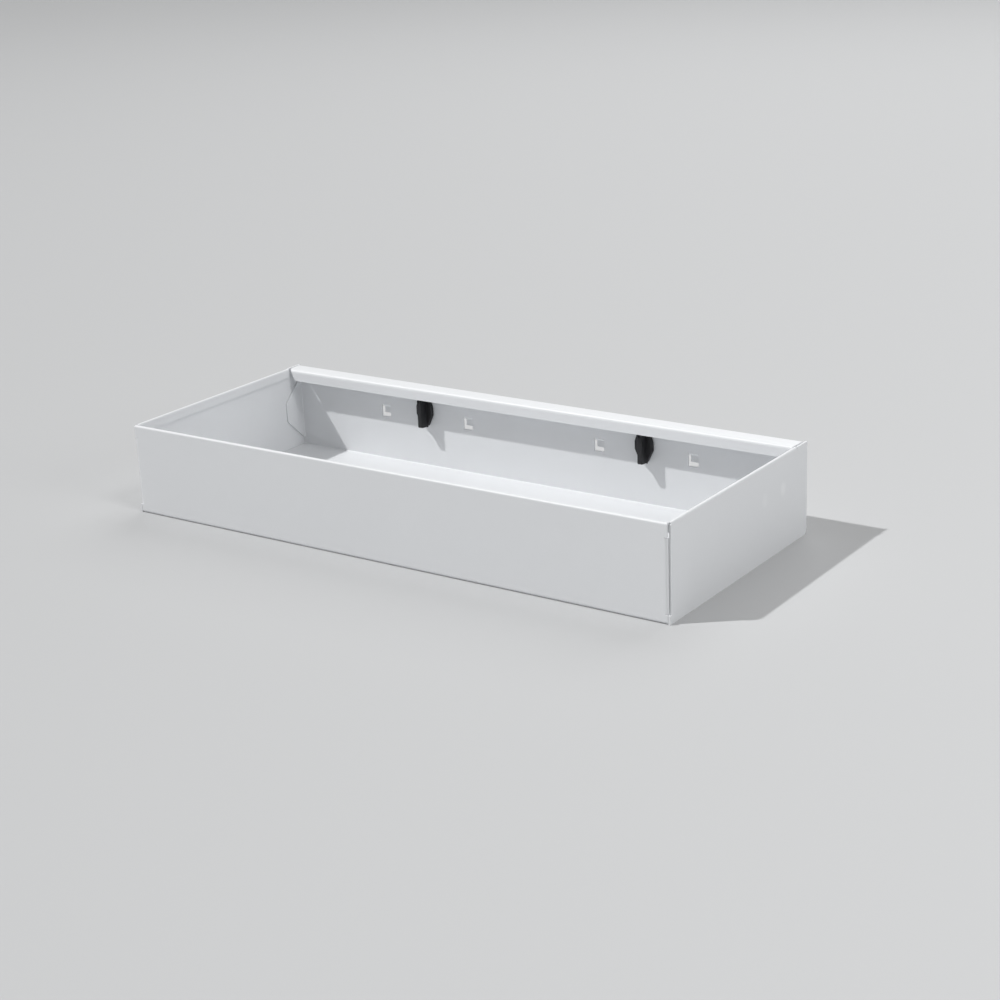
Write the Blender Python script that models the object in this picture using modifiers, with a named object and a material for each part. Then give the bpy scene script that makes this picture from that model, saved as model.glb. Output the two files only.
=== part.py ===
"""Pegboard tool holder: an open tray of folded sheet steel that hooks into a board of square holes.

Frame: +X to the right along the board, +Y into the board, +Z up. The origin lies at the centre of
the bounding box, on the underside. All lengths are in metres.
"""
import math

import bmesh
import bpy
from mathutils import Vector

# Tray, outside sizes
WIDTH = 0.4370
DEPTH = 0.1830
HEIGHT = 0.0650

# Sheet steel and its folds
SHEET = 0.0012
FOLD_RADIUS = 0.0020
HEM_SPACE = 0.0004
HEM_HEIGHT = 0.0066
LIP_DEPTH = 0.0145
LIP_RADIUS = 0.0030
LIP_HEIGHT = 0.0090
LIP_END_GAP = 0.0010
LIP_SLANT_SHARE = 0.50
EAR_REACH = 0.0200
EAR_LOW = 0.0068
EAR_TOP_GAP = 0.0032
EAR_TIP_SHARE = 0.31
EAR_RELIEF = 0.0005
CORNER_RADIUS = 0.0035
SEAM = 0.0020
SEAM_FOOT = 0.0060
HEM_END = 0.0150
HEM_RELIEF = 0.0005
EDGE_ROUND = 0.0002
SEAT_GAP = 0.0003

# Board that the tray hangs on
HOLE_PITCH = 0.0380
BOARD_HOLE = 0.0100
HOLE_ROW_DROP = 0.0178
HOOK_PITCHES = (-3.5, -1.5, 1.5, 3.5)
CLIP_PITCHES = {"left_clip": -2.5, "right_clip": 2.5}

# Hooks lanced out of the back panel
HOOK_WIDTH = 0.0075
HOOK_SLIT = 0.0003
HOOK_INNER_RADIUS = 0.0008
HOOK_RUN = 0.0006
HOOK_TIP = 0.0047

# Push-in clips
PLUG_HOLE = 0.0090
PLUG_PLAY = 0.0003
PLUG_REACH = 0.0050
PLUG_NOSE = 0.0015
PLUG_NOSE_INSET = 0.0008
PLUG_SLOT = 0.0022
CLIP_THICKNESS = 0.0030
CLIP_HALF_WIDTH = 0.0070
CLIP_TOP_HALF = 0.0050
CLIP_FOOT_HALF = 0.0028
CLIP_TOP = 0.0060
CLIP_SHOULDER = 0.0004
CLIP_WAIST = 0.0054
CLIP_FOOT = 0.0144
CLIP_CORNER = 0.0020
CLIP_ROUND = 0.0005
FIN_OFFSET = 0.0010
FIN_THICKNESS = 0.0036
FIN_REACH = 0.0116
FIN_TOP = 0.0075
FIN_FRONT_FOOT = 0.0139
FIN_BACK_FOOT = 0.0146
FIN_CORNER = 0.0012

# How finely the arcs are cut
FOLD_STEPS = 5
HEM_STEPS = 8
CORNER_STEPS = 6

# Places that follow from the sizes
HEM_RADIUS = SHEET + HEM_SPACE / 2
BACK_Y = (DEPTH - PLUG_REACH) / 2
FRONT_Y = BACK_Y - DEPTH
INNER_HALF = WIDTH / 2 - SHEET - SEAT_GAP
EAR_HIGH = HEIGHT - HEM_HEIGHT - EAR_TOP_GAP
HOLE_ROW_Z = HEIGHT - HOLE_ROW_DROP
HOOK_TOP_Z = HOLE_ROW_Z - BOARD_HOLE / 2 + SHEET + HOOK_INNER_RADIUS

STEEL_COLOUR = (0.58, 0.60, 0.61, 1.0)
CLIP_COLOUR = (0.018, 0.018, 0.020, 1.0)


def new_collection(name):
    """A collection linked to the scene."""
    collection = bpy.data.collections.new(name)
    bpy.context.scene.collection.children.link(collection)
    return collection


def new_material(name, colour, roughness, metallic):
    """A Principled material of one colour."""
    material = bpy.data.materials.new(name)
    material.use_nodes = True
    shader = material.node_tree.nodes["Principled BSDF"]
    shader.inputs["Base Color"].default_value = colour
    shader.inputs["Roughness"].default_value = roughness
    shader.inputs["Metallic"].default_value = metallic
    material.diffuse_color = colour
    return material


def new_object(name, bm, collection, material):
    """An object with the bmesh's geometry and one material."""
    mesh = bpy.data.meshes.new(name)
    bm.to_mesh(mesh)
    bm.free()
    if material:
        mesh.materials.append(material)
    obj = bpy.data.objects.new(name, mesh)
    collection.objects.link(obj)
    return obj


class Fold:
    """The cross-section of a folded sheet: straight runs and arcs, by the length along it."""

    def __init__(self, start, heading_deg, moves):
        self.parts = []
        self.breaks = [0.0]
        self.marks = {}
        point = Vector(start)
        heading = math.radians(heading_deg)
        along = 0.0
        for name, move in moves:
            self.marks[name] = along
            if len(move) == 1:
                length, radius, turn, steps = move[0], None, 0.0, 1
            else:
                radius, turn, steps = move[0], math.radians(move[1]), move[2]
                length = radius * abs(turn)
            self.parts.append((along, length, point.copy(), heading, radius, turn))
            point = self._end(point, heading, length, radius, turn, 1.0)
            heading += turn
            self.breaks += [along + length * step / steps for step in range(1, steps + 1)]
            along += length
        self.length = along

    @staticmethod
    def _end(point, heading, length, radius, turn, share):
        """The point a share of the way along one part."""
        ahead = Vector((math.cos(heading), math.sin(heading)))
        if radius is None:
            return point + ahead * length * share
        side = math.copysign(1.0, turn)
        left = Vector((-ahead.y, ahead.x)) * side
        angle = abs(turn) * share
        return point + left * radius * (1 - math.cos(angle)) + ahead * radius * math.sin(angle)

    def at(self, along):
        """The cross-section's point at a length along it."""
        for start, length, point, heading, radius, turn in reversed(self.parts):
            if along >= start or start == 0.0:
                return self._end(point, heading, length, radius, turn, (along - start) / length)
        return None


def sheet_from_bands(columns, rows, keep, place):
    """A surface of cells between columns and rows: keep picks cells, place puts a blank point in space."""
    bm = bmesh.new()
    corners = {}

    def corner(i, j, side):
        point = place(columns[i], rows[j], side)
        key = tuple(round(value, 7) for value in point)
        if key not in corners:
            corners[key] = bm.verts.new(point)
        return corners[key]

    for i in range(len(columns) - 1):
        for j in range(len(rows) - 1):
            across = (columns[i] + columns[i + 1]) / 2
            along = (rows[j] + rows[j + 1]) / 2
            if keep(across, along):
                cell = (across, along)
                bm.faces.new([corner(i, j, cell), corner(i + 1, j, cell),
                              corner(i + 1, j + 1, cell), corner(i, j + 1, cell)])
    return bm, corners


def give_thickness(obj):
    """The sheet's thickness, laid on the side away from the surface's normals, with its edges eased."""
    solid = obj.modifiers.new("sheet", 'SOLIDIFY')
    solid.thickness = SHEET
    solid.offset = -1.0
    solid.use_even_offset = True
    ease = obj.modifiers.new("eased_edges", 'BEVEL')
    ease.width = EDGE_ROUND
    ease.segments = 1
    ease.limit_method = 'ANGLE'
    ease.angle_limit = math.radians(60)


def between(value, low, high):
    """Whether a value lies between two limits."""
    return low < value < high


def tray_pan(collection, material):
    """Floor, front wall and back panel in one folded sheet, with its hem, lip, ears and hooks."""
    # From the hem behind the front wall's top, over it, down, under the floor, up the back, over the lip
    section = Fold((FRONT_Y + 2 * HEM_RADIUS, HEIGHT - HEM_HEIGHT), 90, [
        ("hem", (HEM_HEIGHT - HEM_RADIUS,)),
        ("hem_fold", (HEM_RADIUS, 180, HEM_STEPS)),
        ("front", (HEIGHT - HEM_RADIUS - FOLD_RADIUS,)),
        ("front_fold", (FOLD_RADIUS, 90, FOLD_STEPS)),
        ("floor", (DEPTH - 2 * FOLD_RADIUS,)),
        ("back_fold", (FOLD_RADIUS, 90, FOLD_STEPS)),
        ("back", (HEIGHT - FOLD_RADIUS - LIP_RADIUS,)),
        ("lip_back_fold", (LIP_RADIUS, 90, FOLD_STEPS)),
        ("lip", (LIP_DEPTH - 2 * LIP_RADIUS,)),
        ("lip_front_fold", (LIP_RADIUS, 90, FOLD_STEPS)),
        ("lip_front", (LIP_HEIGHT - LIP_RADIUS,)),
    ])
    marks = section.marks

    def on_front(z):
        return marks["front_fold"] - (z - FOLD_RADIUS)

    def on_back(z):
        return marks["back"] + (z - FOLD_RADIUS)

    # From the tip of the left ears, round the corner, along the panels, to the tip of the right ears
    ear_run = EAR_REACH - FOLD_RADIUS
    wrap = Fold((-INNER_HALF, -EAR_REACH), 90, [
        ("left_ear", (ear_run,)),
        ("left_fold", (FOLD_RADIUS, -90, FOLD_STEPS)),
        ("panel", (2 * (INNER_HALF - FOLD_RADIUS),)),
        ("right_fold", (FOLD_RADIUS, -90, FOLD_STEPS)),
        ("right_ear", (ear_run,)),
    ])
    panel_start = wrap.marks["panel"]
    panel_half = INNER_HALF - FOLD_RADIUS

    def on_panel(x):
        return panel_start + x + panel_half

    hook_top = on_back(HOOK_TOP_Z)
    tongue = Fold((0.0, HOOK_TOP_Z), -90, [
        ("root_fold", (HOOK_INNER_RADIUS, 90, FOLD_STEPS)),
        ("run", (HOOK_RUN,)),
        ("tip_fold", (FOLD_RADIUS, -90, FOLD_STEPS)),
        ("tip", (HOOK_TIP,)),
    ])
    windows = []
    hook_columns = []
    for pitch in HOOK_PITCHES:
        middle = pitch * HOLE_PITCH
        half = HOOK_WIDTH / 2 + HOOK_SLIT
        windows.append((on_panel(middle - half), on_panel(middle + half),
                        hook_top - tongue.length, hook_top))
        hook_columns.append((on_panel(middle - HOOK_WIDTH / 2), on_panel(middle + HOOK_WIDTH / 2)))
    for pitch in CLIP_PITCHES.values():
        middle = pitch * HOLE_PITCH
        half = PLUG_HOLE / 2
        windows.append((on_panel(middle - half), on_panel(middle + half),
                        on_back(HOLE_ROW_Z - half), on_back(HOLE_ROW_Z + half)))

    flat_start = on_panel(-INNER_HALF)
    flat_end = on_panel(INNER_HALF)
    columns = set(wrap.breaks) | {flat_start, flat_end}
    for low, high, _, _ in windows:
        columns |= {low, high}
    for low, high in hook_columns:
        columns |= {low, high}
    columns = sorted(columns)
    ear_rows = [on_front(EAR_HIGH), on_front(EAR_LOW), on_back(EAR_LOW), on_back(EAR_HIGH)]
    relief_rows = [on_front(EAR_HIGH + EAR_RELIEF), on_front(EAR_LOW - EAR_RELIEF),
                   on_back(EAR_LOW - EAR_RELIEF), on_back(EAR_HIGH + EAR_RELIEF)]
    rows = set(section.breaks) | set(ear_rows) | set(relief_rows)
    for _, _, low, high in windows:
        rows |= {low, high}
    rows = sorted(rows)
    ear_middle = (EAR_LOW + EAR_HIGH) / 2

    def is_ear(along):
        return between(along, ear_rows[0], ear_rows[1]) or between(along, ear_rows[2], ear_rows[3])

    def is_relief(along):
        return between(along, relief_rows[0], relief_rows[1]) or between(along, relief_rows[2],
                                                                        relief_rows[3])

    def keep(across, along):
        for low, high, bottom, top in windows:
            if between(across, low, high) and between(along, bottom, top):
                return False
        beyond = not between(across, panel_start, wrap.marks["right_fold"])
        if is_ear(along):
            return True
        if beyond and is_relief(along):
            return False
        return between(across, flat_start, flat_end)

    def edge_inset(along):
        """How far the lip's ends are cut back."""
        clear = min(max(along - marks["lip_back_fold"], 0.0), LIP_END_GAP)
        return clear + max(along - marks["lip_front_fold"], 0.0) * LIP_SLANT_SHARE

    def place(across, along, cell):
        y, z = section.at(along)
        if is_ear(cell[1]):
            x, outward = wrap.at(across)
            reach = -outward
            root = max(reach - FOLD_RADIUS, 0.0) / ear_run
            z = ear_middle + (z - ear_middle) * (1 - (1 - EAR_TIP_SHARE) * root)
            y = y - reach if cell[1] > marks["floor"] else y + reach
            return Vector((x, y, z))
        x = across - panel_start - panel_half
        limit = INNER_HALF - edge_inset(along)
        return Vector((x * limit / INNER_HALF, y, z))

    bm, corners = sheet_from_bands(columns, rows, keep, place)
    for low, high in hook_columns:
        x_low = low - panel_start - panel_half
        x_high = high - panel_start - panel_half
        previous = None
        for along in tongue.breaks:
            y, z = tongue.at(along)
            pair = []
            for x in (x_low, x_high):
                point = Vector((x, BACK_Y + y, z))
                key = tuple(round(value, 7) for value in point)
                pair.append(corners.get(key) or bm.verts.new(point))
            if previous:
                bm.faces.new([previous[0], pair[0], pair[1], previous[1]])
            previous = pair
    bmesh.ops.reverse_faces(bm, faces=bm.faces)
    bmesh.ops.dissolve_limit(bm, angle_limit=math.radians(0.5), verts=bm.verts, edges=bm.edges)
    obj = new_object("tray_pan", bm, collection, material)
    give_thickness(obj)
    return obj


def rounded_outline(corners):
    """The points of an outline whose corners (x, y, radius) are rounded by arcs."""
    points = []
    for index, (x, y, radius) in enumerate(corners):
        here = Vector((x, y))
        before = Vector(corners[index - 1][:2]) - here
        after = Vector(corners[(index + 1) % len(corners)][:2]) - here
        if not radius:
            points.append(here)
            continue
        half_angle = before.angle(after) / 2
        setback = radius / math.tan(half_angle)
        middle = (before.normalized() + after.normalized()).normalized()
        centre = here + middle * radius / math.sin(half_angle)
        first = here + before.normalized() * setback - centre
        last = here + after.normalized() * setback - centre
        turn = first.angle_signed(last)
        for step in range(CORNER_STEPS + 1):
            angle = -turn * step / CORNER_STEPS
            points.append(centre + Vector((first.x * math.cos(angle) - first.y * math.sin(angle),
                                           first.x * math.sin(angle) + first.y * math.cos(angle))))
    return points


def side_wall(name, side, collection, material):
    """One side wall: a flat sheet with its top hemmed inwards, side is -1 on the left and 1 on the right."""
    fold_z = HEIGHT - HEM_RADIUS
    hem_front = FRONT_Y + 2 * HEM_RADIUS + SEAT_GAP
    hem_back = BACK_Y - HEM_END
    outline = rounded_outline([
        (FRONT_Y, 0.0, 0.0),
        (BACK_Y, 0.0, CORNER_RADIUS),
        (BACK_Y, HEIGHT, 0.0),
        (hem_back + HEM_RELIEF, HEIGHT, 0.0),
        (hem_back + HEM_RELIEF, fold_z, 0.0),
        (hem_back, fold_z, 0.0),
        (hem_front, fold_z, 0.0),
        (FRONT_Y + SEAM, fold_z, 0.0),
        (FRONT_Y + SEAM, SEAM_FOOT, 0.0),
        (FRONT_Y, SEAM_FOOT, 0.0),
    ])
    hem = Fold((0.0, fold_z), 90, [
        ("fold", (HEM_RADIUS, -180, HEM_STEPS)),
        ("inner", (HEM_HEIGHT - HEM_RADIUS,)),
    ])
    bm = bmesh.new()
    bm.faces.new([bm.verts.new((side * WIDTH / 2, point.x, point.y)) for point in outline])
    bm.verts.ensure_lookup_table()
    top = [vert for vert in bm.verts if abs(vert.co.z - fold_z) < EDGE_ROUND
           and between(vert.co.y, hem_front - EDGE_ROUND, hem_back + EDGE_ROUND)]
    for along in hem.breaks[1:]:
        inward, z = hem.at(along)
        row = [bm.verts.new((side * (WIDTH / 2 - inward), vert.co.y, z)) for vert in top]
        bm.faces.new([top[0], top[1], row[1], row[0]])
        top = row
    bmesh.ops.recalc_face_normals(bm, faces=bm.faces)
    flat = max(bm.faces, key=lambda face: face.calc_area())
    if flat.normal.x * side < 0:
        bmesh.ops.reverse_faces(bm, faces=bm.faces)
    obj = new_object(name, bm, collection, material)
    give_thickness(obj)
    return obj


def outline_solid(name, outline, thickness, axes, collection):
    """A flat outline given a thickness and rounded rims; axes are the directions of its x, y and thickness."""
    curve = bpy.data.curves.new(name + "_outline", 'CURVE')
    curve.dimensions = '2D'
    curve.fill_mode = 'BOTH'
    curve.extrude = thickness / 2 - CLIP_ROUND
    curve.bevel_depth = CLIP_ROUND
    curve.bevel_resolution = 1
    curve.offset = -CLIP_ROUND
    spline = curve.splines.new('POLY')
    spline.points.add(len(outline) - 1)
    for point, place in zip(spline.points, outline):
        point.co = (place.x, place.y, 0.0, 1.0)
    spline.use_cyclic_u = True
    drawn = bpy.data.objects.new(name + "_outline", curve)
    collection.objects.link(drawn)
    bpy.context.view_layer.update()
    mesh = bpy.data.meshes.new_from_object(drawn.evaluated_get(bpy.context.evaluated_depsgraph_get()))
    bpy.data.objects.remove(drawn)
    bm = bmesh.new()
    bm.from_mesh(mesh)
    bmesh.ops.remove_doubles(bm, verts=bm.verts, dist=EDGE_ROUND / 10)
    across, up, through = (Vector(axis) for axis in axes)
    for vert in bm.verts:
        vert.co = across * vert.co.x + up * vert.co.y + through * vert.co.z
    bmesh.ops.recalc_face_normals(bm, faces=bm.faces)
    obj = new_object(name, bm, collection, None)
    bpy.data.meshes.remove(mesh)
    return obj


def box_solid(name, low, high, collection):
    """A box between two corners."""
    bm = bmesh.new()
    bmesh.ops.create_cube(bm, size=1.0)
    low, high = Vector(low), Vector(high)
    for vert in bm.verts:
        vert.co = Vector((low[axis] if vert.co[axis] < 0 else high[axis] for axis in range(3)))
    return new_object(name, bm, collection, None)


def plug_solid(name, front_y, collection):
    """The square plug, tapered over its nose."""
    half = PLUG_HOLE / 2 - PLUG_PLAY
    plug = box_solid(name, (-half, front_y, -half), (half, PLUG_REACH - PLUG_NOSE, half), collection)
    bm = bmesh.new()
    bm.from_mesh(plug.data)
    end = max(bm.faces, key=lambda face: face.calc_center_median().y)
    nose = bmesh.ops.extrude_discrete_faces(bm, faces=[end])["faces"][0]
    share = (half - PLUG_NOSE_INSET) / half
    for vert in nose.verts:
        vert.co = Vector((vert.co.x * share, PLUG_REACH, vert.co.z * share))
    bm.to_mesh(plug.data)
    bm.free()
    return plug


def combine(obj, other, operation):
    """Joins another solid to an object, or cuts it away, and shows that solid as a wire guide only."""
    step = obj.modifiers.new(other.name, 'BOOLEAN')
    step.operation = operation
    step.object = other
    other.location = obj.location
    other.hide_render = True
    other.display_type = 'WIRE'


def clip(name, x, collection, guides, material):
    """One push-in clip: a shield-shaped plate with a thumb fin in front and a split plug behind."""
    plate_back = -SHEET - SEAT_GAP
    plate_middle = plate_back - CLIP_THICKNESS / 2
    shield = rounded_outline([
        (CLIP_TOP_HALF, CLIP_TOP, CLIP_CORNER),
        (CLIP_HALF_WIDTH, CLIP_SHOULDER, CLIP_CORNER),
        (CLIP_HALF_WIDTH, -CLIP_WAIST, CLIP_CORNER),
        (CLIP_FOOT_HALF, -CLIP_FOOT, CLIP_CORNER),
        (-CLIP_FOOT_HALF, -CLIP_FOOT, CLIP_CORNER),
        (-CLIP_HALF_WIDTH, -CLIP_WAIST, CLIP_CORNER),
        (-CLIP_HALF_WIDTH, CLIP_SHOULDER, CLIP_CORNER),
        (-CLIP_TOP_HALF, CLIP_TOP, CLIP_CORNER),
    ])
    plate = outline_solid(name, shield, CLIP_THICKNESS, ((1, 0, 0), (0, 0, 1), (0, -1, 0)), collection)
    for vert in plate.data.vertices:
        vert.co.y += plate_middle
    plate.data.materials.append(material)
    plate.location = (x, BACK_Y, HOLE_ROW_Z)

    fin_outline = rounded_outline([
        (-FIN_REACH, -FIN_FRONT_FOOT, FIN_CORNER),
        (plate_middle, -FIN_BACK_FOOT, 0.0),
        (plate_middle, FIN_TOP - CLIP_THICKNESS, 0.0),
        (plate_middle - CLIP_THICKNESS, FIN_TOP, FIN_CORNER),
        (-FIN_REACH, FIN_TOP, FIN_CORNER),
    ])
    fin = outline_solid(name + "_fin", fin_outline, FIN_THICKNESS,
                        ((0, 1, 0), (0, 0, 1), (1, 0, 0)), guides)
    for vert in fin.data.vertices:
        vert.co.x += FIN_OFFSET
    combine(plate, fin, 'UNION')
    combine(plate, plug_solid(name + "_plug", plate_middle, guides), 'UNION')
    reach = PLUG_HOLE
    slot = box_solid(name + "_slot", (-PLUG_SLOT / 2, plate_back + SEAT_GAP, -reach),
                     (PLUG_SLOT / 2, PLUG_REACH + reach, reach), guides)
    combine(plate, slot, 'DIFFERENCE')
    return plate


def build():
    """The whole tray."""
    for obj in list(bpy.data.objects):
        bpy.data.objects.remove(obj)
    parts = new_collection("pegboard_tool_holder")
    guides = new_collection("cutters")
    steel = new_material("powder_coated_steel", STEEL_COLOUR, 0.45, 0.0)
    plastic = new_material("black_plastic", CLIP_COLOUR, 0.55, 0.0)
    tray_pan(parts, steel)
    side_wall("left_side_wall", -1, parts, steel)
    side_wall("right_side_wall", 1, parts, steel)
    for name, pitches in CLIP_PITCHES.items():
        clip(name, pitches * HOLE_PITCH, parts, guides, plastic)
    bpy.context.view_layer.update()


build()
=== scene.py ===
import math

import bmesh
import bpy
import numpy as np
from mathutils import Matrix, Vector


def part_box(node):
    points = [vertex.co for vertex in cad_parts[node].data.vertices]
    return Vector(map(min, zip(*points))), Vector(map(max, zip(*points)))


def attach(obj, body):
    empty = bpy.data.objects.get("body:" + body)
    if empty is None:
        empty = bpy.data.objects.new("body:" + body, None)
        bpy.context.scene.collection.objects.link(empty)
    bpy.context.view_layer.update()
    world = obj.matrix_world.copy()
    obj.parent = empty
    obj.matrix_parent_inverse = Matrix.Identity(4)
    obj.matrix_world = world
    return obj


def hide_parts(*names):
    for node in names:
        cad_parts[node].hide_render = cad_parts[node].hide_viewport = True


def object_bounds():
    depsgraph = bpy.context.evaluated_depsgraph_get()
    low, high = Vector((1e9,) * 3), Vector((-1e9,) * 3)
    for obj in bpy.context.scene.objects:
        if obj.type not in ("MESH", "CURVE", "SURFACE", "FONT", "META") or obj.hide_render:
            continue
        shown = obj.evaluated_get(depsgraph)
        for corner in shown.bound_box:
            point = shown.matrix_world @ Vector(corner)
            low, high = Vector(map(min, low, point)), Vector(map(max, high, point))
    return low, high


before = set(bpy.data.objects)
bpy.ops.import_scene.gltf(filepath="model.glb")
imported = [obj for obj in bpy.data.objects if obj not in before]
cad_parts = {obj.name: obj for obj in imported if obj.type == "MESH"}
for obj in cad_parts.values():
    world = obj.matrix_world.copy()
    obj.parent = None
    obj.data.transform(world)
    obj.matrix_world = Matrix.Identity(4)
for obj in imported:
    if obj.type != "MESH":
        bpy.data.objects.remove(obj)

cad_low, cad_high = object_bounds()


# Camera
# It looks from the right and from above, as the photograph does. Its place is counted from the
# middle of the tray: across, out from the board, and up from the rim.
board_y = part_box("right_side_wall")[1].y
rim_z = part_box("right_side_wall")[1].z
camera_across, camera_out, camera_above_rim = 0.7771, 1.1458, 0.4003
camera_yaw, camera_pitch, camera_roll = (math.radians(angle) for angle in (35.22, -18.97, -2.38))
focal_pixels, frame_pixels, sensor_width = 1998.4, 1000, 36.0

ahead = Vector((-math.sin(camera_yaw) * math.cos(camera_pitch),
                math.cos(camera_yaw) * math.cos(camera_pitch), math.sin(camera_pitch)))
level = Vector((math.cos(camera_yaw), math.sin(camera_yaw), 0.0))
upward = level.cross(ahead)
across_frame = math.cos(camera_roll) * level + math.sin(camera_roll) * upward
up_frame = math.cos(camera_roll) * upward - math.sin(camera_roll) * level
camera_data = bpy.data.cameras.new("camera")
camera_data.sensor_width = sensor_width
camera_data.lens = sensor_width * focal_pixels / frame_pixels
camera = bpy.data.objects.new("camera", camera_data)
camera.matrix_world = (Matrix.Translation((camera_across, board_y - camera_out, rim_z + camera_above_rim))
                       @ Matrix((across_frame, up_frame, -ahead)).transposed().to_4x4())
bpy.context.scene.collection.objects.link(camera)
bpy.context.scene.camera = camera


# Tray pan
# One sheet of steel about a millimetre thick. Floor, front wall and back panel are folded up from it;
# the front rim is hemmed over, the back ends in a lip, the ears stand inside the side walls, and the
# hooks are cut out of the back panel on three sides and bent back into the board.
sheet = 0.0012
fold_radius = 0.0020
hem_radius = 0.0014
hem_height = 0.0066
lip_depth, lip_radius, lip_height, lip_end_gap, lip_slant = 0.0145, 0.0030, 0.0090, 0.0010, 0.50
ear_reach, ear_low, ear_top_gap, ear_tip_share, ear_relief = 0.0200, 0.0068, 0.0032, 0.31, 0.0005
ear_press = 0.00025
hook_width, hook_slit, hook_inner_radius, hook_run, hook_tip = 0.0075, 0.0003, 0.0008, 0.0006, 0.0047
plug_hole, board_hole, hole_pitch, hole_row_drop = 0.0090, 0.0100, 0.0380, 0.0178
hook_pitches, left_clip_pitches, right_clip_pitches = (-3.5, -1.5, 1.5, 3.5), -2.5, 2.5
edge_radius, edge_segments, edge_angle = 0.00035, 3, math.radians(50)
arc_step, panel_cell, hook_cell = math.radians(7.5), 0.012, 0.002
weld_reach, hair, round_off = 0.000012, 1e-7, 1e-9

front_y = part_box("tray_pan")[0].y
tray_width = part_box("right_side_wall")[1].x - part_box("left_side_wall")[0].x
tray_middle = (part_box("right_side_wall")[1].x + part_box("left_side_wall")[0].x) / 2
pan_half = (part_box("tray_pan")[1].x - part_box("tray_pan")[0].x) / 2
tray_height = rim_z
tray_depth = board_y - front_y


class FoldLine:
    """The cross-section of a folded sheet as a function of the length along it.

    Each move is a run (length) or a bend (radius, degrees). Along one move the heading h grows
    evenly, h(s) = h0 + k s with k = 1 / radius, and the point is the sum of its unit steps,
    p(s) = p0 + ((sin h - sin h0) / k, (cos h0 - cos h) / k), or a straight step where k is nothing.
    """

    def __init__(self, start, heading, moves):
        starts, lengths, bends, points, headings = [], [], [], [], []
        along, point, heading = 0.0, np.array(start, float), math.radians(heading)
        stations = [0.0]
        for move in moves:
            turn = math.radians(move[1]) if len(move) > 1 else 0.0
            length = move[0] * abs(turn) if turn else move[0]
            bend = turn / length
            starts.append(along)
            lengths.append(length)
            bends.append(bend)
            points.append(point)
            headings.append(heading)
            steps = max(1, math.ceil(abs(turn) / arc_step - hair))
            stations += [along + length * step / steps for step in range(1, steps + 1)]
            point = point + self.step(length, heading, bend)
            heading += turn
            along += length
        self.starts, self.bends = np.array(starts), np.array(bends)
        self.points, self.headings = np.array(points), np.array(headings)
        self.stations = stations

    @staticmethod
    def step(length, heading, bend):
        """The way from a move's start to a point on it."""
        bent = np.abs(bend) > round_off
        safe = np.where(bent, bend, 1.0)
        end = heading + bend * length
        x = np.where(bent, (np.sin(end) - np.sin(heading)) / safe, length * np.cos(heading))
        y = np.where(bent, (np.cos(heading) - np.cos(end)) / safe, length * np.sin(heading))
        return np.stack([x, y], -1)

    def at(self, along):
        """Points at an array of lengths along the cross-section."""
        move = np.searchsorted(self.starts, along + round_off, side="right") - 1
        move = np.clip(move, 0, len(self.starts) - 1)
        step = self.step(along - self.starts[move], self.headings[move], self.bends[move])
        return self.points[move] + step


def grid_lines(stops, widest):
    """Sorted grid lines that hold every stop, with the gaps between them split down to a width."""
    stops = np.unique(np.round(stops, 7))
    runs = [np.linspace(a, b, max(1, math.ceil((b - a) / widest - hair)) + 1)[:-1]
            for a, b in zip(stops[:-1], stops[1:])]
    return np.concatenate(runs + [stops[-1:]])


def sheet_cells(points, keep):
    """Vertices and faces of a grid of points, for the cells that are kept."""
    rows, columns = points.shape[:2]
    index = np.arange(rows * columns).reshape(rows, columns)
    cells = np.stack([index[:-1, :-1], index[1:, :-1], index[1:, 1:], index[:-1, 1:]], -1)[keep]
    used, cells = np.unique(cells, return_inverse=True)
    return points.reshape(-1, 3)[used], cells.reshape(-1, 4)


def sheet_piece(name, patches, node, body, coat):
    """A piece of sheet steel: patches of its outer surface, joined, given the sheet's thickness and
    rounded raw edges. It stands for a node of the model and rides on that node's body."""
    vertices, faces, count = [], [], 0
    for points, cells in patches:
        vertices.append(points)
        faces.append(cells + count)
        count += len(points)
    mesh = bpy.data.meshes.new(name)
    mesh.from_pydata(np.concatenate(vertices), [], np.concatenate(faces).tolist())
    bm = bmesh.new()
    bm.from_mesh(mesh)
    bmesh.ops.remove_doubles(bm, verts=bm.verts, dist=weld_reach)
    bm.to_mesh(mesh)
    bm.free()
    mesh.shade_smooth()
    mesh.materials.append(coat)
    piece = bpy.data.objects.new(name, mesh)
    bpy.context.scene.collection.objects.link(piece)
    thickness = piece.modifiers.new("thickness", 'SOLIDIFY')
    thickness.thickness = sheet
    thickness.offset = -1.0
    thickness.use_even_offset = True
    rounding = piece.modifiers.new("raw_edges", 'BEVEL')
    rounding.width = edge_radius
    rounding.segments = edge_segments
    rounding.limit_method = 'ANGLE'
    rounding.angle_limit = edge_angle
    shading = piece.modifiers.new("flat_faces", 'WEIGHTED_NORMAL')
    shading.keep_sharp = True
    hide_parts(node)
    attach(piece, body)


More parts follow.
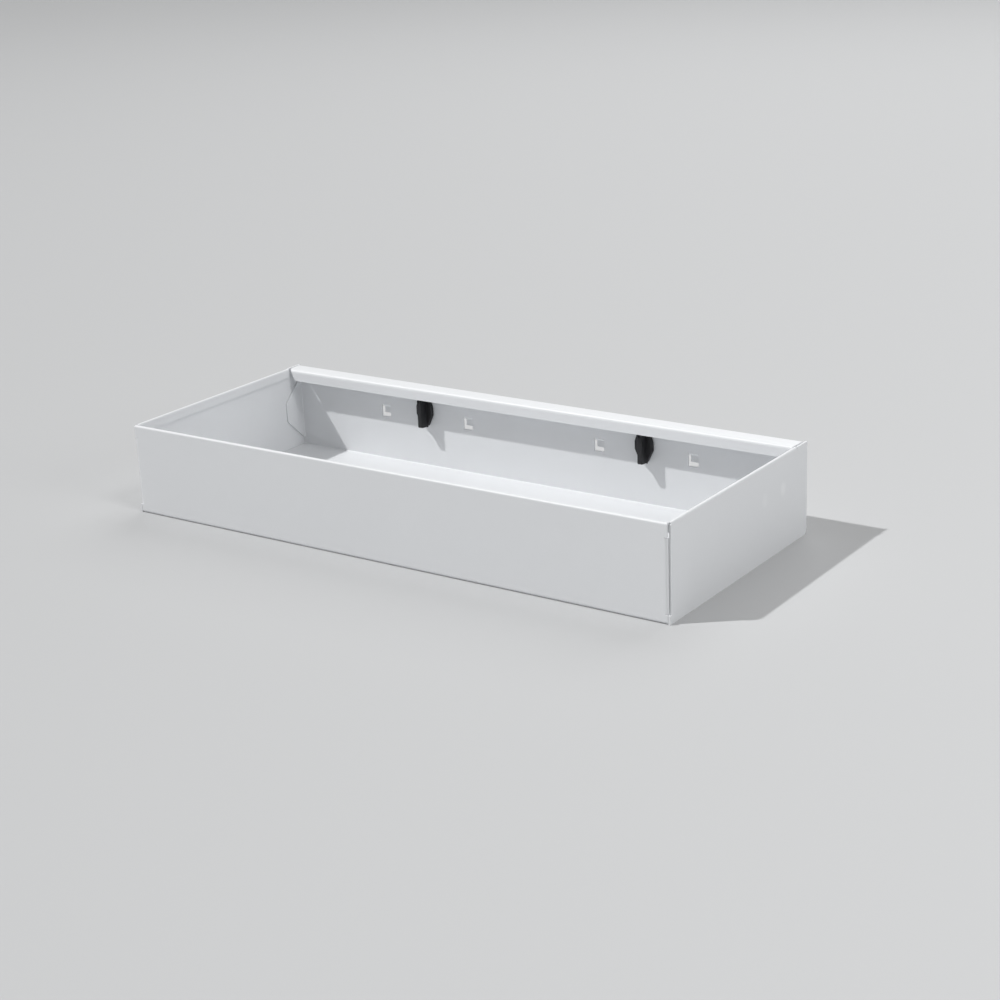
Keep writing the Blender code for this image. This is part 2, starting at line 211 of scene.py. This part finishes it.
class Shade:
    """A shader socket that can be used in sums: each operator adds the Math node it needs."""

    def __init__(self, tree, socket):
        self.tree = tree
        self.socket = socket

    def node(self, kind, settings, sockets, output=0):
        """Adds a node of one kind: its settings first, then the values or links of its sockets."""
        made = self.tree.nodes.new(kind)
        for key, value in settings.items():
            setattr(made, key, value)
        for key, value in sockets.items():
            if isinstance(value, Shade):
                self.tree.links.new(value.socket, made.inputs[key])
            else:
                made.inputs[key].default_value = value
        return Shade(self.tree, made.outputs[output])

    def maths(self, operation, first, second=0.0):
        return self.node("ShaderNodeMath", {"operation": operation}, {0: first, 1: second})

    def __add__(self, other):
        return self.maths('ADD', self, other)

    def __radd__(self, other):
        return self.maths('ADD', other, self)

    def __sub__(self, other):
        return self.maths('SUBTRACT', self, other)

    def __rsub__(self, other):
        return self.maths('SUBTRACT', other, self)

    def __mul__(self, other):
        return self.maths('MULTIPLY', self, other)

    def __rmul__(self, other):
        return self.maths('MULTIPLY', other, self)

    def __truediv__(self, other):
        return self.maths('DIVIDE', self, other)

    def __pow__(self, other):
        return self.maths('POWER', self, other)


def new_finish(name, roughness, gloss):
    """An empty finish: its material, its Principled shader and the object's own coordinates."""
    material = bpy.data.materials.new(name)
    material.use_nodes = True
    shader = material.node_tree.nodes["Principled BSDF"]
    shader.inputs["Roughness"].default_value = roughness
    shader.inputs["Specular IOR Level"].default_value = gloss
    start = Shade(material.node_tree, None)
    place = start.node("ShaderNodeTexCoord", {}, {}, "Object")
    return material, shader, place


def powder_coat():
    """Light grey powder coat on steel: a satin skin with a fine orange peel, a little uneven in
    gloss, and very slightly uneven in tone where the powder lay thicker."""
    tone_low, tone_high = (0.757, 0.769, 0.785, 1.0), (0.792, 0.804, 0.820, 1.0)
    peel_size, mottle_size, cloud_size = 0.0011, 0.0060, 0.0700
    cloud_share, mottle_share, mottle_bump_share = 0.7, 0.3, 0.6
    smooth, mottle_dulls, peel_dulls = 0.36, 0.10, 0.04
    bump_strength, bump_height = 0.35, 0.00003
    material, shader, place = new_finish("powder_coat", roughness=smooth, gloss=0.5)

    def noise(size, detail):
        return place.node("ShaderNodeTexNoise", {}, {"Vector": place, "Scale": 1 / size, "Detail": detail})

    peel = noise(peel_size, 2.0)
    mottle = noise(mottle_size, 3.0)
    cloud = noise(cloud_size, 2.0)
    tone = place.node("ShaderNodeMix", {"data_type": 'RGBA'},
                      {"Factor": cloud * cloud_share + mottle * mottle_share, 6: tone_low, 7: tone_high}, 2)
    roughness = smooth + mottle * mottle_dulls + peel * peel_dulls
    bump = place.node("ShaderNodeBump", {}, {"Strength": bump_strength, "Distance": bump_height,
                                             "Height": peel + mottle * mottle_bump_share})
    for socket, value in (("Base Color", tone), ("Roughness", roughness), ("Normal", bump)):
        material.node_tree.links.new(value.socket, shader.inputs[socket])
    return material


coat = powder_coat()

# From behind the front hem, over it, down the front, under the floor, up the back and over the lip
pan_section = FoldLine((front_y + 2 * hem_radius, tray_height - hem_height), 90, [
    (hem_height - hem_radius,), (hem_radius, 180), (tray_height - hem_radius - fold_radius,),
    (fold_radius, 90), (tray_depth - 2 * fold_radius,), (fold_radius, 90),
    (tray_height - fold_radius - lip_radius,), (lip_radius, 90), (lip_depth - 2 * lip_radius,),
    (lip_radius, 90), (lip_height - lip_radius,)])
front_foot, back_foot = pan_section.starts[3], pan_section.starts[6]
lip_start, lip_bend = pan_section.starts[7], pan_section.starts[9]

# From the tip of the left ears, round the corner, along the panels, to the tip of the right ears
ear_run = ear_reach - fold_radius
panel_half = pan_half - fold_radius
wrap = FoldLine((-pan_half, -ear_reach), 90, [
    (ear_run,), (fold_radius, -90), (2 * panel_half,), (fold_radius, -90), (ear_run,)])
panel_start, panel_end = wrap.starts[2], wrap.starts[3]

hole_row_z = tray_height - hole_row_drop
hook_top_z = hole_row_z - board_hole / 2 + sheet + hook_inner_radius
hook_line = FoldLine((board_y, hook_top_z), -90, [
    (hook_inner_radius, 90), (hook_run,), (fold_radius, -90), (hook_tip,)])
hook_length = hook_line.stations[-1]
ear_high = tray_height - hem_height - ear_top_gap


def along_front(z):
    return front_foot - (z - fold_radius)


def along_back(z):
    return back_foot + (z - fold_radius)


def along_panel(x):
    return panel_start + x + panel_half


windows = []
hooks = []
for pitches in hook_pitches:
    half = hook_width / 2 + hook_slit
    middle = pitches * hole_pitch
    top = along_back(hook_top_z)
    windows.append((along_panel(middle - half), along_panel(middle + half), top - hook_length, top))
    hooks.append((middle - hook_width / 2, middle + hook_width / 2))
for pitches in (left_clip_pitches, right_clip_pitches):
    middle = pitches * hole_pitch
    half = plug_hole / 2
    windows.append((along_panel(middle - half), along_panel(middle + half),
                    along_back(hole_row_z - half), along_back(hole_row_z + half)))

ear_rows = ((along_front(ear_high), along_front(ear_low)), (along_back(ear_low), along_back(ear_high)))
flat_edges = (along_panel(-pan_half), along_panel(pan_half))
column_stops = (wrap.stations + list(flat_edges) + [edge for window in windows for edge in window[:2]]
                + [along_panel(x) for hook in hooks for x in hook])
row_stops = (pan_section.stations + [edge for window in windows for edge in window[2:]]
             + [edge + side for low, high in ear_rows for edge, side in (
                 (low, 0.0), (low, -ear_relief), (high, 0.0), (high, ear_relief))])
columns = grid_lines(column_stops, panel_cell)
rows = grid_lines(row_stops, panel_cell)


def pan_surface(across, along):
    """The pan's outer surface. Across is the length round the ears and along the panel, along is the
    length of the cross-section. Off the ears the point is (across, section(along)), with the lip's
    ends cut back. On an ear the fold line gives x and how far the ear has turned away
    from its panel, and the height narrows evenly from the ear's root to its tip. The rear ears, which
    show, are pressed against the side walls by their welds, by a share that grows over the fold."""
    across, along = np.meshgrid(across, along)
    y, z = np.moveaxis(pan_section.at(along), -1, 0)
    flat_x = across - panel_start - panel_half
    cut_back = (np.clip(along - lip_start, 0.0, lip_end_gap)
                + np.maximum(along - lip_bend, 0.0) * lip_slant)
    flat_x = flat_x * (1 - cut_back / pan_half)
    wrap_x, turned = np.moveaxis(wrap.at(across), -1, 0)
    pressed = np.clip(-turned / fold_radius, 0.0, 1.0) * ear_press
    wrap_x = wrap_x + np.where(along > back_foot, np.sign(wrap_x) * pressed, 0.0)
    root = np.maximum(-turned - fold_radius, 0.0) / ear_run
    ear_middle = (ear_low + ear_high) / 2
    ear_z = ear_middle + (z - ear_middle) * (1 - (1 - ear_tip_share) * root)
    on_ear = np.zeros(along.shape, bool)
    for low, high in ear_rows:
        on_ear |= (along > low - hair) & (along < high + hair)
    inward = np.where(along < back_foot, -turned, turned)
    return np.stack([tray_middle + np.where(on_ear, wrap_x, flat_x), y + np.where(on_ear, inward, 0.0),
                     np.where(on_ear, ear_z, z)], -1)


def pan_cells():
    """Which cells of the blank are steel: not the windows, and nothing beside the panel but the ears."""
    across, along = np.meshgrid((columns[1:] + columns[:-1]) / 2, (rows[1:] + rows[:-1]) / 2)
    beside = (across < panel_start) | (across > panel_end)
    keep = (across > flat_edges[0]) & (across < flat_edges[1])
    for low, high in ear_rows:
        keep |= (along > low) & (along < high)
        near = (along > low - ear_relief) & (along < high + ear_relief)
        keep &= ~(beside & near & ~((along > low) & (along < high)))
    for low, high, foot, top in windows:
        keep &= ~((across > low) & (across < high) & (along > foot) & (along < top))
    return keep


def hook_surface(low, high):
    """A hook: a strip between two x, carried along the hook's own fold line, root first."""
    along = grid_lines(hook_line.stations, hook_cell)
    y, z = hook_line.at(along).T
    x = np.linspace(low, high, 2)
    points = np.stack([tray_middle + np.tile(x, (len(along), 1)), np.tile(y[:, None], 2),
                       np.tile(z[:, None], 2)], -1)
    return points[::-1]


pan_patches = [sheet_cells(pan_surface(columns, rows), pan_cells())]
for low, high in hooks:
    hook = hook_surface(low, high)
    pan_patches.append(sheet_cells(hook, np.ones((len(hook) - 1, 1), bool)))
sheet_piece("folded_pan", pan_patches, "tray_pan", "tray", coat)


# Side walls
# Each is a flat sheet that closes one end of the pan, with its top edge hemmed inwards as far back as
# the lip. It lies outside the ears and is spot-welded to them. The tools that held it leave two
# shallow ovals, and over them the coat carries a painted highlight.
seam, seam_foot, corner_radius, corner_points = 0.0020, 0.0060, 0.0035, 9
hem_gap, hem_end, hem_relief = 0.0003, 0.0150, 0.0005
tool_marks = ((-0.0346, 0.0420), (-0.0600, 0.0418))
mark_half_length, mark_half_height, mark_depth = 0.0042, 0.0058, 0.00012
# The shares of the painted highlight laid over each tool mark's oval on the outside of the walls.
mark_margin_share, mark_highlight_shares = 1.5, (0.40, 0.22)
wall_cell, row_cell, rear_cell, mark_cell = 0.012, 0.006, 0.004, 0.0008


def side_wall_patch(side):
    """The wall's outer surface, side -1 on the left and 1 on the right: a point is (y, length over
    the fold), with the rear lower corner rounded by drawing its columns in to the arc
    r - sqrt(r^2 - (r - z)^2), and each tool mark sunk by depth * exp(-d^6), with d the distance
    from its middle in radii."""
    hem = FoldLine((0.0, tray_height - hem_radius), 90, [(hem_radius, -180), (hem_height - hem_radius,)])
    seam_y, hem_front, hem_back = front_y + seam, front_y + 2 * hem_radius + hem_gap, board_y - hem_end
    hem_start = tray_height - hem_radius
    arc = corner_radius * (1 - np.cos(np.linspace(0, math.pi / 2, corner_points)))
    margins = (-mark_margin_share, mark_margin_share)
    mark_y = [board_y + y + share * mark_half_length for y, _ in tool_marks for share in margins]
    mark_z = [z + share * mark_half_height for _, z in tool_marks[:1] for share in margins]
    wall_columns = np.concatenate([grid_lines([front_y, seam_y, hem_front, min(mark_y)], wall_cell)[:-1],
                                   grid_lines([min(mark_y), max(mark_y)], mark_cell),
                                   grid_lines([max(mark_y), hem_back, hem_back + hem_relief,
                                               board_y - 2 * corner_radius, board_y], rear_cell)[1:]])
    wall_rows = np.concatenate([grid_lines([*arc, seam_foot, min(mark_z)], row_cell)[:-1],
                                grid_lines([min(mark_z), max(mark_z)], mark_cell),
                                grid_lines([max(mark_z), hem_start], row_cell)[1:],
                                hem_start + grid_lines(hem.stations + [hem_radius], row_cell)[1:]])
    y, s = np.meshgrid(wall_columns, wall_rows)
    over = np.maximum(s - hem_start, 0.0)
    inward, hem_z = np.moveaxis(hem.at(over), -1, 0)
    behind = y > hem_back + hem_relief / 2
    inward = np.where(behind, 0.0, inward)
    z = np.where((over > 0) & ~behind, hem_z, s)
    drawn_in = corner_radius - np.sqrt(np.maximum(
        corner_radius ** 2 - np.maximum(corner_radius - z, 0.0) ** 2, 0.0))
    reach = np.clip((y - board_y) / (2 * corner_radius) + 1, 0.0, 1.0)
    dip = np.zeros(y.shape)
    for mark, height in tool_marks:
        away = ((y - board_y - mark) / mark_half_length) ** 2 + ((z - height) / mark_half_height) ** 2
        dip += mark_depth * np.exp(-away ** 3)
    x = tray_middle + side * (tray_width / 2 - inward - dip * (over == 0))
    points = np.stack([x, y - drawn_in * reach, z], -1)
    y, s = np.meshgrid((wall_columns[1:] + wall_columns[:-1]) / 2, (wall_rows[1:] + wall_rows[:-1]) / 2)
    keep = (y > seam_y) | (s < seam_foot)
    keep &= ((s < hem_start) | ((y > hem_front) & (y < hem_back))
             | ((y > hem_back + hem_relief) & (s < tray_height)))
    if side > 0:
        points, keep = points[:, ::-1], keep[:, ::-1]
    return sheet_cells(points, keep)


def painted_highlight_coat():
    """The pan's powder coat with a painted highlight over the tool marks on the outside: over each oval the
    painted highlight's share is its own share * max(0, 1 - d^2), with d the distance from its middle in
    radii."""
    # Painted highlight: the ovals are coloured brighter to stand in for the light that the shallow
    # tool-mark dents catch.
    painted_highlight_tone = (0.93, 0.94, 0.95, 1.0)
    material = coat.copy()
    material.name = "powder_coat_painted_highlight"
    tree = material.node_tree
    shader = tree.nodes["Principled BSDF"]
    place = Shade(tree, tree.nodes["Texture Coordinate"].outputs["Object"])
    plain = Shade(tree, shader.inputs["Base Color"].links[0].from_socket)
    across, depth, height = (
        place.node("ShaderNodeVectorMath", {"operation": 'DOT_PRODUCT'}, {0: place, 1: axis}, "Value")
        for axis in ((1.0, 0.0, 0.0), (0.0, 1.0, 0.0), (0.0, 0.0, 1.0)))
    from_middle = place.maths('ABSOLUTE', across - tray_middle)
    outside = place.maths('GREATER_THAN', from_middle, tray_width / 2 - sheet / 2)
    share = 0.0
    for (mark, middle), highlight_share in zip(tool_marks, mark_highlight_shares):
        away = (((depth - (board_y + mark)) / mark_half_length) ** 2.0
                + ((height - middle) / mark_half_height) ** 2.0)
        share = place.maths('MAXIMUM', 1.0 - away, 0.0) * highlight_share + share
    tone = place.node("ShaderNodeMix", {"data_type": 'RGBA'},
                      {"Factor": share * outside, 6: plain, 7: painted_highlight_tone}, 2)
    tree.links.new(tone.socket, shader.inputs["Base Color"])
    return material


wall_coat = painted_highlight_coat()
sheet_piece("left_wall_sheet", [side_wall_patch(-1)], "left_side_wall", "tray", wall_coat)
sheet_piece("right_wall_sheet", [side_wall_patch(1)], "right_side_wall", "tray", wall_coat)


# Clips
# Each is one moulding of black plastic: a shield-shaped plate against the back panel, a thin fin to
# pull it by, and behind it a square plug, slit down the middle, that locks into the board.
clip_thickness, clip_corner = 0.0030, 0.0020
clip_half_width, clip_top_half, clip_foot_half = 0.0070, 0.0050, 0.0028
clip_top, clip_shoulder, clip_waist, clip_foot = 0.0060, 0.0004, 0.0054, 0.0144
fin_offset, fin_thickness, fin_reach = 0.0010, 0.0036, 0.0116
fin_top, fin_front_foot, fin_back_foot, fin_corner = 0.0075, 0.0139, 0.0146, 0.0012
seat_gap, clip_round, sharp_angle = 0.0003, 0.0006, math.radians(40)
plug_play, plug_reach, plug_nose, plug_nose_inset, plug_slot = 0.0003, 0.0050, 0.0015, 0.0008, 0.0022
plug_root, plug_tip_round = 0.0005, 0.0002
fin_fillet, fin_nose, fin_root, fin_shoulder_share = 0.0008, 0.0007, 0.0002, 0.8
leg_round, crown, crown_inset_share = 0.0004, 0.00015, 2.4
arc_points, nose_points, flank_points, outline_points = 6, 7, 8, 9
plate_back = -sheet - seat_gap
plate_front = plate_back - clip_thickness


def black_plastic():
    """Black moulded plastic with the fine grain of a spark-eroded mould and a dull sheen."""
    dark, worn = (0.008, 0.008, 0.009, 1.0), (0.020, 0.020, 0.023, 1.0)
    grain_size, dust_size = 0.00025, 0.0030
    smooth, grain_dulls, dust_dulls = 0.44, 0.14, 0.08
    bump_strength, bump_height = 0.5, 0.00004
    material, shader, place = new_finish("black_plastic", roughness=smooth, gloss=0.4)
    grain = place.node("ShaderNodeTexNoise", {}, {"Vector": place, "Scale": 1 / grain_size, "Detail": 2.0})
    dust = place.node("ShaderNodeTexNoise", {}, {"Vector": place, "Scale": 1 / dust_size, "Detail": 4.0})
    tone = place.node("ShaderNodeMix", {"data_type": 'RGBA'}, {"Factor": dust, 6: dark, 7: worn}, 2)
    roughness = smooth + grain * grain_dulls + dust * dust_dulls
    bump = place.node("ShaderNodeBump", {}, {"Strength": bump_strength, "Distance": bump_height,
                                             "Height": grain})
    for socket, value in (("Base Color", tone), ("Roughness", roughness), ("Normal", bump)):
        material.node_tree.links.new(value.socket, shader.inputs[socket])
    return material


plastic = black_plastic()


def rounded_corners(corners):
    """A closed outline, counter-clockwise: at every corner, given as (x, y, radius), an arc
    c + r (cos a, sin a) whose angle a grows from the last side's outward normal to the next one's."""
    corners = np.array(corners, float)
    place, radius = corners[:, :2], corners[:, 2]
    side = np.roll(place, -1, 0) - place
    side /= np.linalg.norm(side, axis=1)[:, None]
    last = np.roll(side, 1, 0)
    start = np.arctan2(-last[:, 0], last[:, 1])
    turn = (np.arctan2(-side[:, 0], side[:, 1]) - start) % (2 * math.pi)
    inward = side - last
    inward /= np.linalg.norm(inward, axis=1)[:, None]
    middle = place + inward * (radius / np.cos(turn / 2))[:, None]
    angle = start[:, None] + turn[:, None] * np.linspace(0, 1, outline_points)[None]
    arc = middle[:, None] + radius[:, None, None] * np.stack([np.cos(angle), np.sin(angle)], -1)
    return arc.reshape(-1, 2)


def drawn_in(outline, by):
    """A closed outline moved inwards along its own normals by each of several distances."""
    ahead = np.roll(outline, -1, 0) - np.roll(outline, 1, 0)
    normal = np.stack([ahead[:, 1], -ahead[:, 0]], -1) / np.linalg.norm(ahead, axis=1)[:, None]
    return outline[None] - np.asarray(by)[:, None, None] * normal[None]


def closed_rings(rings):
    """Vertices and faces of a closed body: rings of equal count joined by quads, both ends capped."""
    count, around = rings.shape[:2]
    index = np.arange(count * around).reshape(count, around)
    nearby = np.roll(index, -1, 1)
    quads = np.stack([index[:-1], nearby[:-1], nearby[1:], index[1:]], -1).reshape(-1, 4)
    return rings.reshape(-1, 3), quads.tolist() + [index[0][::-1].tolist(), index[-1].tolist()]


def shield_plate():
    """The plate: its shield outline, drawn in by r (1 - sin a) while it rises by r (1 - cos a) round
    the front edge, from the flat back to a slightly crowned front."""
    shield = rounded_corners([
        (clip_foot_half, -clip_foot, clip_corner), (clip_half_width, -clip_waist, clip_corner),
        (clip_half_width, clip_shoulder, clip_corner), (clip_top_half, clip_top, clip_corner),
        (-clip_top_half, clip_top, clip_corner), (-clip_half_width, clip_shoulder, clip_corner),
        (-clip_half_width, -clip_waist, clip_corner), (-clip_foot_half, -clip_foot, clip_corner)])
    angle = np.linspace(0, math.pi / 2, arc_points)
    inset = np.concatenate([[clip_round / 2, 0.0], clip_round * (1 - np.cos(angle)),
                            [crown_inset_share * clip_round]])
    depth = np.concatenate([[plate_back, plate_back - clip_round / 2],
                            plate_front + clip_round * (1 - np.sin(angle)), [plate_front - crown]])
    rings = drawn_in(shield, inset)
    return closed_rings(np.stack([rings[..., 0], np.broadcast_to(depth[:, None], rings.shape[:2]),
                                  rings[..., 1]], -1))


def pull_fin():
    """The fin: a level section with a hollow fillet r (1 - sin a) at its root and a round nose,
    carried from its foot to its top. Foot and top follow their own lines over the depth, and drop or
    rise to meet the nose on an arc; near either end the section is drawn in to a round edge."""
    half = fin_thickness / 2
    root = np.linspace(0, math.pi / 2, arc_points)
    bend = np.linspace(0, math.pi / 2, nose_points)
    root_x = half + fin_fillet * (1 - np.sin(root))
    root_y = plate_front + fin_root - fin_fillet * (1 - np.cos(root))
    side_y = np.linspace(root_y[-1], -fin_reach + fin_nose, flank_points)[1:-1]
    nose_x = half - fin_nose + fin_nose * np.cos(bend)
    nose_y = -fin_reach + fin_nose * (1 - np.sin(bend))
    right = np.stack([np.concatenate([root_x, np.full(len(side_y), half), nose_x]),
                      np.concatenate([root_y, side_y, nose_y])], -1)
    section = np.concatenate([right[::-1], right * (-1, 1)])
    depth = (section[:, 1] - plate_front) / (-fin_reach - plate_front)
    corner = np.maximum(fin_corner - (section[:, 1] + fin_reach), 0.0)
    rounding = fin_corner - np.sqrt(np.maximum(fin_corner ** 2 - corner ** 2, 0.0))
    foot = -fin_back_foot + (fin_back_foot - fin_front_foot) * depth + rounding
    shoulder = np.maximum(clip_thickness - (plate_front - section[:, 1]), 0.0) * fin_shoulder_share
    top = fin_top - rounding - shoulder
    angle = np.linspace(0, math.pi / 2, arc_points)
    rise = np.concatenate([clip_round * (1 - np.cos(angle)), -clip_round * (1 - np.cos(angle[::-1]))])
    inset = np.concatenate([clip_round * (1 - np.sin(angle)), clip_round * (1 - np.sin(angle[::-1]))])
    rings = drawn_in(section, inset)
    rings[..., 1] = np.minimum(rings[..., 1], section[:, 1].max())
    lower = np.arange(len(rise)) < len(angle)
    z = np.where(lower[:, None], foot[None], top[None]) + rise[:, None]
    return closed_rings(np.stack([fin_offset + rings[..., 0], rings[..., 1], z], -1)[:, ::-1])


def plug_leg(side):
    """Half of the split plug: a rounded rectangle beside the slot, carried into the board and drawn in
    evenly over its nose."""
    half, near = plug_hole / 2 - plug_play, plug_slot / 2
    low, high = (near, half) if side > 0 else (-half, -near)
    section = rounded_corners([(high, -half, leg_round), (high, half, leg_round),
                               (low, half, leg_round), (low, -half, leg_round)])
    y = np.array([plate_back - plug_root, plug_reach - plug_nose, plug_reach - plug_tip_round, plug_reach])
    inset = np.array([0.0, 0.0, plug_nose_inset, plug_nose_inset + plug_tip_round])
    share = 1 - inset / half
    rings = section[None] * share[:, None, None]
    body = np.stack([rings[..., 0], np.broadcast_to(y[:, None], rings.shape[:2]), rings[..., 1]], -1)
    return closed_rings(body[:, ::-1])


def moulded_clip(name, node, pitches):
    """One clip: its plate, fin and the two legs of its plug, in one mesh at its hole."""
    vertices, faces, count = [], [], 0
    for body, polygons in (shield_plate(), pull_fin(), plug_leg(-1), plug_leg(1)):
        vertices.append(body)
        faces += [[count + corner for corner in polygon] for polygon in polygons]
        count += len(body)
    vertices = np.concatenate(vertices) + (tray_middle + pitches * hole_pitch, board_y, hole_row_z)
    mesh = bpy.data.meshes.new(name)
    mesh.from_pydata(vertices, [], faces)
    mesh.shade_smooth()
    mesh.set_sharp_from_angle(angle=sharp_angle)
    mesh.materials.append(plastic)
    piece = bpy.data.objects.new(name, mesh)
    bpy.context.scene.collection.objects.link(piece)
    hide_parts(node)
    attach(piece, node)


moulded_clip("left_push_clip", "left_clip", left_clip_pitches)
moulded_clip("right_push_clip", "right_clip", right_clip_pitches)


# Floor and light
# The floor is wide and pale. It curves up to a low wall behind the tray and on its right, and runs on
# flat to the front and the left, where the key light comes from. The key throws the lip's and the
# wall's shadows, and soft boxes behind and on the right fill the rest.
floor_open, floor_half, floor_rise, floor_wall = 60.0, 7.0, 2.5, 1.0
floor_tone = (0.52, 0.525, 0.53, 1.0)
key_travel = Vector((0.67, 0.52, -1.0)).normalized()


def pale_floor():
    """The floor: one sweep, along the flat, round a quarter circle and up a wall, is taken both across
    and in depth, and the point is (across, depth, the sum of the two heights)."""
    sweep = FoldLine((-floor_open, 0.0), 0, [
        (floor_open + floor_half - floor_rise,), (floor_rise, 90), (floor_wall,)])
    out, up = sweep.at(np.array(sweep.stations)).T
    x, y = np.meshgrid(out, out)
    points = np.stack([x, y, cad_low.z + up[None] + up[:, None]], -1)
    vertices, cells = sheet_cells(points, np.ones((len(out) - 1, len(out) - 1), bool))
    mesh = bpy.data.meshes.new("floor")
    mesh.from_pydata(vertices, [], cells[:, ::-1].tolist())
    mesh.shade_smooth()
    material, shader, _ = new_finish("pale_floor", roughness=0.7, gloss=0.2)
    shader.inputs["Base Color"].default_value = floor_tone
    mesh.materials.append(material)
    floor = bpy.data.objects.new("floor", mesh)
    bpy.context.scene.collection.objects.link(floor)


def studio_light(name, kind, place, towards, strength, size=0.0):
    """A lamp at a place, turned towards a point: a sun of an angle, or a square soft box of a width."""
    light = bpy.data.lights.new(name, kind)
    light.energy = strength
    if kind == 'SUN':
        light.angle = size
    else:
        light.shape = 'SQUARE'
        light.size = size
    lamp = bpy.data.objects.new(name, light)
    lamp.location = place
    lamp.rotation_euler = (Vector(towards) - Vector(place)).to_track_quat('-Z', 'Y').to_euler()
    bpy.context.scene.collection.objects.link(lamp)


pale_floor()
tray_centre = Vector((tray_middle, 0.0, tray_height / 2))
key_distance, key_strength, key_angle = 2.0, 2.24, math.radians(1.6)
studio_light("key_light", 'SUN', tray_centre - key_distance * key_travel, tray_centre,
             key_strength, key_angle)
for name, place, strength, width in (("rear_soft_box", (-0.3, 2.6, 3.0), 56.0, 3.0),
                                     ("low_soft_box", (2.1, -0.2, 1.0), 7.0, 0.7),
                                     ("high_soft_box", (1.6, -0.5, 2.5), 15.5, 0.7)):
    studio_light(name, 'AREA', place, tray_centre, strength, width)

dome_strength = 0.215
world = bpy.data.worlds.new("studio")
world.use_nodes = True
world.node_tree.nodes["Background"].inputs["Color"].default_value = (1.0, 1.0, 1.0, 1.0)
world.node_tree.nodes["Background"].inputs["Strength"].default_value = dome_strength
bpy.context.scene.world = world
bpy.context.scene.view_settings.view_transform = 'Standard'
